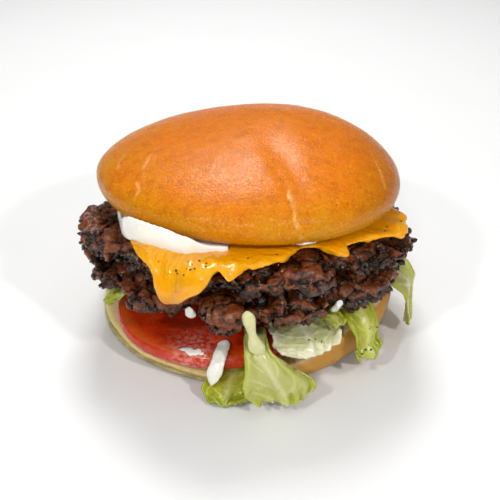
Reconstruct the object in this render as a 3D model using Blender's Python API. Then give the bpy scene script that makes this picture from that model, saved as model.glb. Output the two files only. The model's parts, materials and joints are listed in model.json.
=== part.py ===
"""A smash burger: a brioche bun with two lacy-edged patties, cheese, mayonnaise, tomato, onion and lettuce.

The burger stands on the flat underside of its heel, centred on the Z axis, and its open side faces -Y.
The layers rise towards the front, so each meeting surface below is a plane that slopes up towards -Y.
"""

import math

import bpy
import numpy as np
from mathutils import Vector, noise

# Sizes are in millimetres and angles in degrees. Every mesh is scaled by MM when it is made.
MM = 0.001
GAP = 0.4

# Heel: the lower half of the bun, pressed thin under the tomato
HEEL_RADIUS = 52.0
HEEL_BASE_RADIUS = 45.5
HEEL_BASE_SHIFT = (-2.6, 1.0)
HEEL_HEIGHT = 17.2
HEEL_RIM_DROP = 1.6
HEEL_RIM_ROUNDING = 2.6
HEEL_TILT = (0.022, -0.006)
LEAF_POCKET_DEPTH = 2.2

# Tomato slice, off the burger's centre towards its front left, tipped with the pressed heel
TOMATO_CENTRE = (-9.5, -15.0)
TOMATO_RADIUS = 37.0
TOMATO_THICKNESS = 6.2
TOMATO_TOP = 17.4
TOMATO_SLOPE = (0.070, 0.108)

# Meeting surfaces, as the height on the axis and the fall for each millimetre towards +X and +Y
LOWER_PATTY_UNDERSIDE = (22.9, 0.0, 0.035)
PATTIES_MEET = (32.3, 0.012, 0.085)
UPPER_PATTY_TOP = (42.7, 0.034, 0.110)
CROWN_UNDERSIDE = (46.0, 0.038, 0.109)

# Crown: the domed upper half. Its rim is the share of the radius and the height at each row under the widest.
CROWN_RADIUS = 51.9
CROWN_HEIGHT = 26.6
CROWN_WIDEST = 7.6
CROWN_CENTRE_Y = 1.4
CROWN_APEX = (12.8, 9.8)
CROWN_FULLNESS = 1.68
CREASE_START_X = -2.6
CREASE_LEAN = 0.345
CROWN_RIM = ((1.0, 7.6), (0.994, 5.0), (0.978, 2.9), (0.950, 1.3), (0.905, 0.3), (0.84, 0.0))

# Cheese: a square slice, melted over the upper patty with a corner to the front left and one to the right
CHEESE_HALF_SIDE = 45.0
CHEESE_THICKNESS = 2.2
CHEESE_SIDE_AZIMUTH = -74.0
CHEESE_CORNER_SHARPNESS = 7.0
CHEESE_BEND_RADIUS = 3.6
CHEESE_HANG_ANGLE = 76.0
CHEESE_LEAST_EDGE = 48.5
CHEESE_DRIP_BLUNTNESS = 5.0
# Drips and dents of its edge: azimuth, half width and length
CHEESE_DRIPS = (
    (-126.0, 12.0, 2.0), (-109.0, 8.7, 13.2), (-106.0, 4.5, 2.0), (-95.5, 2.4, 4.2), (-89.8, 11.8, 9.3),
    (-75.5, 4.5, 2.6), (-57.4, 3.7, 6.6), (-40.5, 6.5, -2.8), (-13.0, 6.0, 1.5), (14.0, 8.0, 6.0),
    (66.0, 9.0, 7.0), (96.0, 7.0, 5.5), (128.0, 8.0, 3.0), (160.0, 9.0, 4.0),
)

# Mayonnaise: squeezed out into a bead that fills the wedge under the crown's rim, from and to these azimuths
MAYONNAISE_SPAN = (-153.0, -98.0)
MAYONNAISE_EDGE = 47.0
MAYONNAISE_SWELL = 6.4
MAYONNAISE_BEAD = 5.6

# Patty outlines, as the radius reached at each azimuth. Low values are the clefts in the smashed edge.
LOWER_PATTY_REACH = (
    (-180, 57.5), (-168, 59.5), (-152, 59.0), (-141, 57.0), (-131, 60.5), (-123, 60.5), (-118, 56.0),
    (-112.5, 47.5), (-108, 49.0), (-104, 56.5), (-100, 60.5), (-96, 61.0), (-92, 58.5), (-88, 55.0), (-83, 60.0),
    (-72, 60.5), (-65, 58.5), (-59, 48.0), (-54, 56.0), (-43, 58.5), (-32, 57.5), (-20, 54.5), (-4, 55.5),
    (14, 58.5), (30, 57.0), (41, 52.5), (55, 58.5), (74, 60.0), (90, 56.5), (99, 51.0), (112, 58.0),
    (130, 60.0), (146, 56.0), (162, 58.0),
)
UPPER_PATTY_REACH = (
    (-176, 56.5), (-166, 59.5), (-156, 61.5), (-147, 60.5), (-138, 56.0), (-128, 57.0), (-118, 57.5),
    (-110, 56.5), (-104, 60.0), (-100, 60.0), (-96, 55.5), (-92, 60.0), (-88, 57.0), (-83, 59.5), (-72, 61.0),
    (-64, 60.5), (-60.5, 57.5), (-56, 46.5), (-51.5, 57.0), (-39, 61.0), (-27, 60.5), (-15, 57.5), (-2, 53.5),
    (16, 55.5), (34, 59.0), (47, 54.0), (60, 58.5), (78, 60.5), (96, 58.0), (108, 54.0), (124, 59.0),
    (140, 59.0), (156, 54.0), (170, 54.5),
)

COLOURS = {
    "crust": ((0.66, 0.25, 0.02), 0.30),
    "kissing_crust": ((0.60, 0.38, 0.13), 0.50),
    "beef": ((0.075, 0.028, 0.016), 0.45),
    "cheese": ((0.86, 0.42, 0.01), 0.25),
    "mayonnaise": ((0.93, 0.90, 0.78), 0.25),
    "tomato": ((0.52, 0.035, 0.008), 0.20),
    "onion": ((0.88, 0.86, 0.72), 0.30),
    "lettuce": ((0.42, 0.44, 0.09), 0.35),
    "pale_lettuce": ((0.58, 0.58, 0.28), 0.35),
}


def clear_scene():
    for old in list(bpy.data.objects):
        bpy.data.objects.remove(old)


def material(name):
    """The Principled material of this name, made once."""
    if name in bpy.data.materials:
        return bpy.data.materials[name]
    made = bpy.data.materials.new(name)
    made.use_nodes = True
    shader = made.node_tree.nodes["Principled BSDF"]
    colour, roughness = COLOURS[name]
    shader.inputs["Base Color"].default_value = (*colour, 1.0)
    shader.inputs["Roughness"].default_value = roughness
    made.diffuse_color = (*colour, 1.0)
    return made


def add_mesh(name, points, faces, material_name, smooth=True):
    """A named object from points in millimetres."""
    mesh = bpy.data.meshes.new(name)
    mesh.from_pydata([tuple(MM * c for c in p) for p in points], [], faces)
    mesh.materials.append(material(material_name))
    if smooth:
        mesh.shade_smooth()
    mesh.update()
    made = bpy.data.objects.new(name, mesh)
    bpy.context.scene.collection.objects.link(made)
    return made


def solid_of_rings(name, rings, material_name, smooth=True):
    """A closed solid from rings of points, the first and last of which are single poles, top to bottom."""
    points, faces = [tuple(rings[0][0])], []
    count = len(rings[1])
    for ring in rings[1:-1]:
        points.extend(tuple(p) for p in ring)
    points.append(tuple(rings[-1][0]))
    last = len(points) - 1
    for i in range(count):
        j = (i + 1) % count
        faces.append((0, 1 + i, 1 + j))
        for row in range(len(rings) - 3):
            a, b = 1 + row * count, 1 + (row + 1) * count
            faces.append((a + i, b + i, b + j))
            faces.append((a + i, b + j, a + j))
        tail = last - count
        faces.append((tail + i, last, tail + j))
    return add_mesh(name, points, faces, material_name, smooth)


def smooth_step(low, high, value):
    t = min(1.0, max(0.0, (value - low) / (high - low)))
    return t * t * (3.0 - 2.0 * t)


def bump(azimuth, centre, half_width, bluntness=2.0):
    """1 at the centre azimuth, falling smoothly to 0 on both sides."""
    away = (azimuth - centre + 180.0) % 360.0 - 180.0
    return math.exp(-(abs(away / half_width) ** bluntness))


def rough(point, scale, seed):
    """Noise from -1 to 1 with features of this size in millimetres."""
    at = Vector(point) / scale + Vector((seed * 7.3, seed * 3.1, seed * 5.7))
    return max(-1.0, min(1.0, 1.6 * noise.noise(at)))


def layer(surface, x, y):
    """Height of a meeting surface at this place."""
    at_axis, fall_x, fall_y = surface
    return at_axis - fall_x * x - fall_y * y


def tomato_plane(x, y):
    """Height of the tomato slice's top face, continued past its rim."""
    return TOMATO_TOP + TOMATO_SLOPE[0] * (x - TOMATO_CENTRE[0]) + TOMATO_SLOPE[1] * (y - TOMATO_CENTRE[1])


def heel_top(x, y):
    """Height of the heel's cut face: level, but pressed down under the tomato slice."""
    level = HEEL_HEIGHT + HEEL_TILT[0] * x + HEEL_TILT[1] * y
    pressed = tomato_plane(x, y) - TOMATO_THICKNESS - 1.5 * GAP
    azimuth = math.degrees(math.atan2(y, x))
    away = math.hypot(x - TOMATO_CENTRE[0], y - TOMATO_CENTRE[1])
    free = smooth_step(TOMATO_RADIUS + 4.0, TOMATO_RADIUS + 13.0, away)
    free *= 1.0 - 0.75 * bump(azimuth, -112.0, 42.0)
    pocket = LEAF_POCKET_DEPTH * bump(azimuth, -96.0, 13.0) * smooth_step(36.0, 42.0, math.hypot(x, y))
    return min(level, pressed + (level - pressed) * free) - pocket


def make_heel():
    segments = 50
    rings = []
    azimuths = [2 * math.pi * i / segments for i in range(segments)]

    def outline(a):
        return 1.0 + 0.010 * math.cos(2 * a + 0.6) + 0.006 * math.cos(3 * a + 2.0)

    rim = HEEL_RADIUS - HEEL_RIM_ROUNDING
    rings.append([(0.0, 0.0, heel_top(0.0, 0.0))])
    for share in (0.40, 0.68, 0.86, 1.0):
        ring = []
        for a in azimuths:
            r = rim * share * outline(a)
            x, y = r * math.cos(a), r * math.sin(a)
            ring.append((x, y, heel_top(x, y) - HEEL_RIM_DROP * smooth_step(0.85, 1.0, share) * 0.5))
        rings.append(ring)
    for turn in (20.0, 48.0, 78.0, 108.0, 140.0, 165.0):
        ring = []
        for a in azimuths:
            x0, y0 = rim * math.cos(a), rim * math.sin(a)
            top = heel_top(x0, y0) - 0.5 * HEEL_RIM_DROP
            t = math.radians(turn)
            out = math.sin(t) ** 0.8
            inner = rim if turn < 90.0 else HEEL_BASE_RADIUS
            down = 0.5 - 0.5 * math.cos(t)
            r = (inner + (HEEL_RADIUS - inner) * out) * outline(a)
            shift_x, shift_y = HEEL_BASE_SHIFT[0] * down, HEEL_BASE_SHIFT[1] * down
            ring.append((shift_x + r * math.cos(a), shift_y + r * math.sin(a), top * (1.0 - down)))
        rings.append(ring)
    for share in (0.985, 0.5):
        r = HEEL_BASE_RADIUS * share
        shift_x, shift_y = HEEL_BASE_SHIFT
        rings.append([(shift_x + r * math.cos(a), shift_y + r * math.sin(a), 0.0) for a in azimuths])
    rings.append([(*HEEL_BASE_SHIFT, 0.0)])
    return solid_of_rings("bun_heel", rings, "kissing_crust")


def make_tomato():
    """A slice with faint lobes and a rounded skin edge, tipped by TOMATO_SLOPE."""
    segments = 48
    azimuths = [2 * math.pi * i / segments for i in range(segments)]
    half = 0.5 * TOMATO_THICKNESS

    def lobed(a):
        return TOMATO_RADIUS * (1.0 + 0.014 * math.cos(5 * a + 0.4) + 0.008 * math.cos(2 * a))

    rings = [[(0.0, 0.0, half)]]
    profile = ((0.5, 1.0), (0.94, 1.0), (0.982, 0.80), (1.0, 0.25), (0.995, -0.40), (0.970, -0.88),
               (0.92, -1.0), (0.5, -1.0))
    for share, height in profile:
        rings.append([(lobed(a) * share * math.cos(a), lobed(a) * share * math.sin(a), half * height)
                      for a in azimuths])
    rings.append([(0.0, 0.0, -half)])
    slice_object = solid_of_rings("tomato_slice", rings, "tomato")
    slice_object.location = (MM * TOMATO_CENTRE[0], MM * TOMATO_CENTRE[1], MM * (TOMATO_TOP - half))
    slice_object.rotation_euler = (math.atan(TOMATO_SLOPE[1]), -math.atan(TOMATO_SLOPE[0]), 0.0)
    return slice_object


def reach_at(reach, azimuth):
    """Radius at this azimuth, on a smooth closed curve through the (azimuth, radius) pairs."""
    azimuths = [pair[0] for pair in reach]
    azimuth = (azimuth - azimuths[0]) % 360.0 + azimuths[0]
    count = len(reach)
    i = max(k for k in range(count) if azimuths[k] <= azimuth)
    start = azimuths[i]
    end = azimuths[i + 1] if i + 1 < count else azimuths[0] + 360.0
    t = (azimuth - start) / (end - start)
    before, here, after, beyond = (reach[(i + k) % count][1] for k in (-1, 0, 1, 2))
    lean_here, lean_after = 0.35 * (after - before), 0.35 * (beyond - here)
    return (here * (2 * t**3 - 3 * t**2 + 1) + lean_here * (t**3 - 2 * t**2 + t)
            + after * (3 * t**2 - 2 * t**3) + lean_after * (t**3 - t**2))


def make_patty(name, reach, underside, topside, seed):
    """A smashed patty: flat where its neighbours press on it, with a thin, craggy, cleft edge."""
    segments = 104
    thinning_above, thinning_below, crag = 1.7, 1.1, 3.0
    azimuths = [360.0 * i / segments for i in range(segments)]
    top_shares = (0.5, 0.78, 0.87, 0.93, 0.98)
    side_rows = ((1.0, 0.76), (1.0, 0.44), (0.985, 0.12))
    bottom_shares = (0.93, 0.82, 0.5)

    def at(azimuth, share):
        r = reach_at(reach, azimuth) * share
        return r * math.cos(math.radians(azimuth)), r * math.sin(math.radians(azimuth))

    def face_height(x, y, share, surface, sign):
        """Top face for sign -1 and underside for +1. Relief only takes away, so neighbours stay clear."""
        thinning = (thinning_above if sign < 0 else thinning_below) * smooth_step(0.80, 1.0, share)
        relief = crag * smooth_step(0.66, 0.86, share) * (0.5 + 0.5 * rough((x, y, 40.0 * sign), 5.2, seed))
        return layer(surface, x, y) + sign * (0.5 * GAP + thinning + relief)

    rings = [[(0.0, 0.0, face_height(0.0, 0.0, 0.0, topside, -1))]]
    for share in top_shares:
        ring = []
        for azimuth in azimuths:
            x, y = at(azimuth, share)
            ring.append((x, y, face_height(x, y, share, topside, -1)))
        rings.append(ring)
    for row, (share, height) in enumerate(side_rows):
        ring = []
        for azimuth in azimuths:
            x, y = at(azimuth, share)
            inward = 0.5 + 0.5 * rough((x, y, 9.0 * row), 4.4, seed + 3)
            x, y = at(azimuth, share - 0.055 * inward)
            low = face_height(x, y, 1.0, underside, 1)
            high = face_height(x, y, 1.0, topside, -1)
            ring.append((x, y, low + (high - low) * height))
        rings.append(ring)
    for share in bottom_shares:
        ring = []
        for azimuth in azimuths:
            x, y = at(azimuth, share)
            ring.append((x, y, face_height(x, y, share, underside, 1)))
        rings.append(ring)
    rings.append([(0.0, 0.0, face_height(0.0, 0.0, 0.0, underside, 1))])
    return solid_of_rings(name, rings, "beef", smooth=False)


def cheese_reach(azimuth):
    """How far the melted slice runs from the axis, measured along its own surface."""
    a = math.radians(azimuth - CHEESE_SIDE_AZIMUTH)
    p = CHEESE_CORNER_SHARPNESS
    square = CHEESE_HALF_SIDE / (abs(math.cos(a)) ** p + abs(math.sin(a)) ** p) ** (1.0 / p)
    for centre, half_width, length in CHEESE_DRIPS:
        square += length * bump(azimuth, centre, half_width, CHEESE_DRIP_BLUNTNESS)
    return square


def cheese_path(azimuth, run, lift):
    """The point this far along the cheese: flat on the patty, then bent down past the patty's edge."""
    hang = math.radians(CHEESE_HANG_ANGLE)
    around = (reach_at(UPPER_PATTY_REACH, azimuth + turned) for turned in (-2.5, 0.0, 2.5))
    edge = max(0.985 * max(around) - 1.0, CHEESE_LEAST_EDGE)
    past = run - edge
    radius = CHEESE_BEND_RADIUS
    turn = min(hang, max(0.0, past / radius))
    straight = max(0.0, past - radius * hang)
    r = min(run, edge) + (radius + lift) * math.sin(turn) + straight * math.cos(hang)
    drop = (radius + lift) * (1.0 - math.cos(turn)) + straight * math.sin(hang)
    x, y = r * math.cos(math.radians(azimuth)), r * math.sin(math.radians(azimuth))
    x_edge = min(run, edge) * math.cos(math.radians(azimuth))
    y_edge = min(run, edge) * math.sin(math.radians(azimuth))
    return x, y, layer(UPPER_PATTY_TOP, x_edge, y_edge) + 0.5 * GAP + lift - drop


def make_cheese():
    """The slice, with more segments round its open side, where the drips are."""
    front_segments, back_segments = 96, 26
    azimuths = [180.0 * i / front_segments - 180.0 for i in range(front_segments)]
    azimuths += [180.0 * i / back_segments for i in range(back_segments)]
    shares = (0.60, 0.83, 0.91, 0.96)
    rings = [[(0.0, 0.0, layer(UPPER_PATTY_TOP, 0.0, 0.0) + 0.5 * GAP + CHEESE_THICKNESS)]]
    for share in shares:
        rings.append([cheese_path(a, share * cheese_reach(a), CHEESE_THICKNESS) for a in azimuths])
    rings.append([cheese_path(a, cheese_reach(a) - 0.1, 0.70 * CHEESE_THICKNESS) for a in azimuths])
    rings.append([cheese_path(a, cheese_reach(a) - 0.4, 0.0) for a in azimuths])
    for share in reversed(shares[:-1]):
        rings.append([cheese_path(a, share * cheese_reach(a), 0.0) for a in azimuths])
    rings.append([(0.0, 0.0, layer(UPPER_PATTY_TOP, 0.0, 0.0) + 0.5 * GAP)])
    return solid_of_rings("cheese", rings, "cheese")


def crown_outline(azimuth):
    """Radius of the crown at its widest, in its own frame."""
    a = math.radians(azimuth)
    return CROWN_RADIUS * (1.0 + 0.025 * math.cos(a + 2.36) + 0.012 * math.cos(2 * a + 1.54))


def crown_under(azimuth, x, y, rise_share):
    """Height of the crown's underside at this place, with this share of its rise towards its widest."""
    share = math.hypot(x, y - CROWN_CENTRE_Y) / crown_outline(azimuth)
    rows = sorted(CROWN_RIM)
    rise = float(np.interp(share, [row[0] for row in rows], [row[1] for row in rows]))
    return layer(CROWN_UNDERSIDE, x, y - CROWN_CENTRE_Y) + rise_share * rise


def crown_relief(x, y):
    """Slight dents of a soft bun, and the long fold down its front."""
    wide = 0.6 * rough((x, y, 0.0), 30.0, 1)
    fold_x = CREASE_START_X - CREASE_LEAN * y
    forward = smooth_step(0.0, 20.0, -y)
    fold = -1.3 * math.exp(-(((x - fold_x - 2.0) / 3.6) ** 2)) * forward
    shoulder = 0.7 * math.exp(-(((x - fold_x + 7.0) / 6.0) ** 2)) * forward
    return wide + fold + shoulder


def make_crown():
    segments = 60
    azimuths = [360.0 * i / segments for i in range(segments)]
    rings = [[(CROWN_APEX[0], CROWN_APEX[1], CROWN_HEIGHT + crown_relief(*CROWN_APEX))]]
    for share in (0.18, 0.35, 0.50, 0.63, 0.74, 0.83, 0.90, 0.95, 0.983):
        ring = []
        for azimuth in azimuths:
            a = math.radians(azimuth)
            dome = (1.0 - share**CROWN_FULLNESS) ** (1.0 / CROWN_FULLNESS)
            r = crown_outline(azimuth) * share
            slide = 1.0 - share**1.6
            x = r * math.cos(a) + CROWN_APEX[0] * slide
            y = r * math.sin(a) + CROWN_APEX[1] * slide
            z = CROWN_WIDEST + (CROWN_HEIGHT - CROWN_WIDEST) * dome
            z += crown_relief(x, y) * min(1.0, 1.6 * dome)
            ring.append((x, y, z))
        rings.append(ring)
    for share, height in (*CROWN_RIM, (0.45, 0.0)):
        ring = []
        for azimuth in azimuths:
            a = math.radians(azimuth)
            r = crown_outline(azimuth) * share
            ring.append((r * math.cos(a), r * math.sin(a), height))
        rings.append(ring)
    rings.append([(0.0, 0.0, 0.0)])
    crown = solid_of_rings("bun_crown", rings, "crust")
    crown.location = (0.0, MM * CROWN_CENTRE_Y, MM * CROWN_UNDERSIDE[0])
    crown.rotation_euler = (-math.atan(CROWN_UNDERSIDE[2]), math.atan(CROWN_UNDERSIDE[1]), 0.0)
    return crown


def loft(name, loops, material_name):
    """A closed solid through loops of points, with a flat fan over the first and last."""
    count = len(loops[0])
    points = [tuple(p) for loop in loops for p in loop]
    first = tuple(np.mean(loops[0], axis=0))
    last = tuple(np.mean(loops[-1], axis=0))
    points += [first, last]
    faces = []
    for i in range(count):
        j = (i + 1) % count
        faces.append((len(points) - 2, j, i))
        for row in range(len(loops) - 1):
            a, b = row * count, (row + 1) * count
            faces.append((a + i, a + j, b + j))
            faces.append((a + i, b + j, b + i))
        tail = (len(loops) - 1) * count
        faces.append((len(points) - 1, tail + i, tail + j))
    return add_mesh(name, points, faces, material_name)


def make_mayonnaise():
    """The sauce between crown and cheese, squeezed out into a bead at the front left."""
    stations, film, inner = 24, 0.7, 38.0
    start, end = MAYONNAISE_SPAN
    loops = []
    for i in range(stations):
        t = i / (stations - 1)
        azimuth = start + (end - start) * t
        a = math.radians(azimuth)
        swell = smooth_step(0.0, 0.38, t) * (1.0 - 0.92 * smooth_step(0.74, 1.0, t))
        swell *= 1.0 - 0.24 * smooth_step(0.45, 0.85, t) - 0.16 * bump(azimuth, -141.0, 2.5)
        outer = MAYONNAISE_EDGE + MAYONNAISE_SWELL * swell

        def spot(r, up):
            x, y = r * math.cos(a), r * math.sin(a)
            floor = layer(UPPER_PATTY_TOP, x, y) + 1.5 * GAP + CHEESE_THICKNESS
            top = min(floor + film + MAYONNAISE_BEAD * swell, crown_under(azimuth, x, y, 0.78) - 0.9 * GAP)
            return x, y, floor + (top - floor) * up

        rim = outer - 4.4
        shape = [(inner, 1.0), (0.45 * inner + 0.55 * rim, 1.0), (rim, 1.0), (outer - 2.8, 1.0),
                 (outer - 1.4, 1.0), (outer - 0.5, 0.88), (outer, 0.55), (outer - 0.3, 0.18),
                 (outer - 1.6, 0.0), (inner, 0.0)]
        loops.append([spot(r, up) for r, up in shape])
    return loft("mayonnaise", loops, "mayonnaise")


def sheet_solid(name, surface, steps, thickness, material_name):
    """A thin closed sheet on both sides of surface(u, v), for u and v from 0 to 1."""
    rows, columns = steps
    middle = np.array([[surface(i / rows, j / columns) for j in range(columns + 1)] for i in range(rows + 1)])
    along = np.gradient(middle, axis=0)
    across = np.gradient(middle, axis=1)
    normal = np.cross(along, across)
    normal /= np.linalg.norm(normal, axis=2, keepdims=True)
    upper, lower = middle + 0.5 * thickness * normal, middle - 0.5 * thickness * normal
    points = [tuple(p) for face in (upper, lower) for row in face for p in row]
    size = (rows + 1) * (columns + 1)

    def at(i, j, side):
        return side * size + i * (columns + 1) + j

    faces = []
    for i in range(rows):
        for j in range(columns):
            a, b, c, d = at(i, j, 0), at(i + 1, j, 0), at(i + 1, j + 1, 0), at(i, j + 1, 0)
            faces += [(a, b, c), (a, c, d)]
            faces += [(c + size, b + size, a + size), (d + size, c + size, a + size)]
    rim = [(i, 0) for i in range(rows)] + [(rows, j) for j in range(columns)]
    rim += [(i, columns) for i in range(rows, 0, -1)] + [(0, j) for j in range(columns, 0, -1)]
    for k, here in enumerate(rim):
        there = rim[(k + 1) % len(rim)]
        a, b = at(*here, 0), at(*there, 0)
        faces += [(b, a, a + size), (b, a + size, b + size)]
    return add_mesh(name, points, faces, material_name)


def curve_at(knots, t):
    """The point at share t of a smooth curve through the knots, by their chord lengths."""
    knots = np.array(knots, float)
    lengths = np.concatenate([[0.0], np.cumsum(np.linalg.norm(np.diff(knots[:, :2], axis=0), axis=1))])
    at = t * lengths[-1]
    i = int(min(len(knots) - 2, max(0, np.searchsorted(lengths, at, side="right") - 1)))
    s = (at - lengths[i]) / (lengths[i + 1] - lengths[i])
    before, after = knots[max(0, i - 1)], knots[min(len(knots) - 1, i + 2)]
    here, there = knots[i], knots[i + 1]
    lean_here, lean_there = 0.5 * (there - before), 0.5 * (after - here)
    return (here * (2 * s**3 - 3 * s**2 + 1) + lean_here * (s**3 - 2 * s**2 + s)
            + there * (3 * s**2 - 2 * s**3) + lean_there * (s**3 - s**2))


# Lettuce: each piece by its knots (radius, height, azimuth, half width), from the burger outwards.
# Then follow the depth and count of its frills, its phase, and its grid
LETTUCE = {
    "leaf_front_fold": dict(
        knots=((46.0, 20.8, -88.0, 3.4), (53.0, 22.2, -88.0, 3.6), (58.6, 21.0, -87.5, 4.4),
               (61.4, 16.0, -84.5, 7.5), (62.0, 10.5, -82.0, 11.0), (62.3, 6.0, -80.5, 11.5),
               (62.8, 2.6, -80.0, 8.0)),
        frill=1.9, waves=1.5, phase=0.4, steps=(14, 9), colour="pale_lettuce"),
    "leaf_front_left": dict(
        knots=((43.0, 7.1, -96.0, 5.0), (49.5, 6.3, -96.0, 6.5), (55.0, 5.0, -96.5, 8.5),
               (58.0, 3.2, -97.0, 8.5), (61.5, 1.9, -98.0, 5.0)),
        frill=0.9, waves=2.0, phase=1.9, steps=(9, 8), colour="lettuce"),
    "leaf_front_right": dict(
        knots=((38.0, 19.4, -69.5, 8.0), (48.0, 19.6, -69.5, 11.0), (54.6, 18.6, -69.5, 12.0),
               (57.2, 15.2, -69.5, 10.0)),
        frill=1.2, waves=1.5, phase=2.4, steps=(8, 9), colour="pale_lettuce"),
    "leaf_right": dict(
        knots=((38.0, 20.6, -43.0, 6.5), (49.5, 20.6, -44.0, 7.5), (54.6, 15.5, -45.0, 7.5),
               (55.4, 10.5, -46.0, 6.5), (57.6, 8.2, -46.5, 7.0), (56.6, 5.6, -47.0, 4.5)),
        frill=1.2, waves=1.5, phase=0.9, steps=(11, 7), colour="lettuce"),
    "leaf_far_right": dict(
        knots=((40.0, 20.4, -11.0, 7.0), (50.5, 21.0, -12.5, 9.0), (57.0, 18.4, -14.5, 9.5),
               (57.8, 11.0, -17.0, 7.5), (58.2, 3.5, -18.5, 2.8)),
        frill=1.2, waves=1.0, phase=0.2, steps=(10, 6), colour="pale_lettuce"),
    "leaf_left": dict(
        knots=((41.0, 20.4, -160.0, 5.5), (47.0, 20.4, -158.5, 7.0), (51.6, 18.6, -157.5, 7.0),
               (53.8, 14.8, -157.0, 4.5)),
        frill=1.0, waves=1.0, phase=2.0, steps=(7, 5), colour="lettuce"),
    "leaf_inner": dict(
        knots=((44.0, 22.0, -58.5, 2.6), (50.0, 23.4, -58.5, 3.6), (54.5, 22.4, -58.0, 2.6)),
        frill=0.5, waves=1.0, phase=1.1, steps=(5, 4), colour="lettuce"),
    "leaf_back_left": dict(
        knots=((36.0, 19.4, 150.0, 12.0), (49.0, 19.4, 150.0, 16.0), (54.8, 15.8, 150.0, 15.0),
               (56.6, 8.0, 149.0, 9.0)),
        frill=1.3, waves=2.0, phase=0.3, steps=(7, 9), colour="lettuce"),
    "leaf_back": dict(
        knots=((32.0, 19.0, 102.0, 11.0), (49.0, 18.8, 102.0, 17.0), (54.6, 16.2, 102.0, 17.0),
               (57.4, 12.0, 102.0, 12.0)),
        frill=1.2, waves=2.5, phase=1.2, steps=(6, 9), colour="pale_lettuce"),
    "leaf_back_right": dict(
        knots=((36.0, 19.8, 46.0, 14.0), (49.0, 19.6, 46.0, 20.0), (54.8, 16.0, 46.0, 19.0),
               (57.0, 6.5, 47.0, 11.0)),
        frill=1.3, waves=2.5, phase=2.2, steps=(7, 10), colour="lettuce"),
}
LEAF_THICKNESS = 0.8


def leaf_surface(piece):
    """The middle surface of one lettuce piece, as a function of the shares along and across it."""
    def surface(u, v):
        radius, height, azimuth, half_width = curve_at(piece["knots"], u)
        ahead = curve_at(piece["knots"], min(1.0, u + 0.05)) - curve_at(piece["knots"], max(0.0, u - 0.05))
        slope = math.atan2(ahead[1], ahead[0])
        side = 2.0 * v - 1.0
        growth = (0.35 + 0.65 * u) * (0.45 + 0.55 * side**2)
        wave = piece["frill"] * growth * math.sin(2 * math.pi * piece["waves"] * v + piece["phase"] + 1.5 * u)
        end = 0.85 * (side**2) * half_width * 0.22 * smooth_step(0.65, 1.0, u)
        r = radius - wave * math.sin(slope) - end * math.cos(slope)
        z = height + wave * math.cos(slope) - end * math.sin(slope)
        a = math.radians(azimuth) + side * half_width / max(radius, 30.0)
        return r * math.cos(a), r * math.sin(a), z
    return surface


def make_lettuce():
    for name, piece in LETTUCE.items():
        sheet_solid(name, leaf_surface(piece), piece["steps"], LEAF_THICKNESS, piece["colour"])


# Strips and stalks: knots (radius, height, azimuth, half width, half thickness)
STRIPS = {
    "onion_strip": dict(
        knots=((46.0, 16.0, -99.6, 2.2, 0.9), (51.0, 15.5, -100.0, 2.3, 0.9), (55.4, 13.4, -100.6, 2.4, 0.9),
               (56.8, 9.8, -101.4, 2.6, 0.9), (57.6, 6.2, -102.2, 0.9, 0.5)),
        stations=11, colour="onion"),
    "onion_chip_left": dict(
        knots=((51.6, 27.0, -110.8, 1.5, 0.7), (53.2, 29.6, -110.4, 1.9, 0.9),
               (54.4, 32.4, -110.0, 1.2, 0.7)),
        stations=6, colour="onion"),
    "onion_chip_right": dict(
        knots=((51.4, 26.4, -58.8, 1.5, 0.8), (53.4, 28.8, -58.8, 1.9, 1.0), (54.6, 32.0, -58.8, 1.4, 0.7)),
        stations=6, colour="onion"),
    "lettuce_stalk": dict(
        knots=((62.2, 38.6, -90.6, 2.1, 1.1), (63.0, 35.6, -90.2, 2.4, 1.3), (63.0, 31.0, -89.4, 1.5, 1.1),
               (63.0, 26.4, -88.2, 2.7, 1.6), (62.6, 22.6, -87.4, 2.6, 1.4)),
        stations=12, colour="pale_lettuce"),
}


def make_strip(name, knots, stations, material_name):
    """A rounded strip whose width lies round the burger and whose thickness points outwards."""
    sides = 8
    loops = []
    for i in range(stations):
        u = i / (stations - 1)
        radius, height, azimuth, half_width, half_thickness = curve_at(knots, u)
        ahead = curve_at(knots, min(1.0, u + 0.04)) - curve_at(knots, max(0.0, u - 0.04))
        slope = math.atan2(ahead[1], ahead[0])
        a = math.radians(azimuth)
        round_off = math.sqrt(max(0.0, 1.0 - (2.0 * u - 1.0) ** 10))
        shrink = 0.25 + 0.75 * round_off
        loop = []
        for k in range(sides):
            turn = 2 * math.pi * k / sides
            aside = half_width * shrink * math.cos(turn)
            out = half_thickness * shrink * math.sin(turn)
            r, z = radius - out * math.sin(slope), height + out * math.cos(slope)
            loop.append((r * math.cos(a) - aside * math.sin(a), r * math.sin(a) + aside * math.cos(a), z))
        loops.append(loop)
    return loft(name, loops, material_name)


def main():
    clear_scene()
    make_heel()
    make_tomato()
    make_patty("patty_lower", LOWER_PATTY_REACH, LOWER_PATTY_UNDERSIDE, PATTIES_MEET, seed=2)
    make_patty("patty_upper", UPPER_PATTY_REACH, PATTIES_MEET, UPPER_PATTY_TOP, seed=5)
    make_cheese()
    make_mayonnaise()
    make_crown()
    make_lettuce()
    for name, strip in STRIPS.items():
        make_strip(name, strip["knots"], strip["stations"], strip["colour"])


main()
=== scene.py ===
"""A smash burger: fine surfaces, materials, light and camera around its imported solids."""

import json
import math

import bmesh
import bpy
import numpy as np
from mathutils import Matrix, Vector
from mathutils.bvhtree import BVHTree

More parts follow.
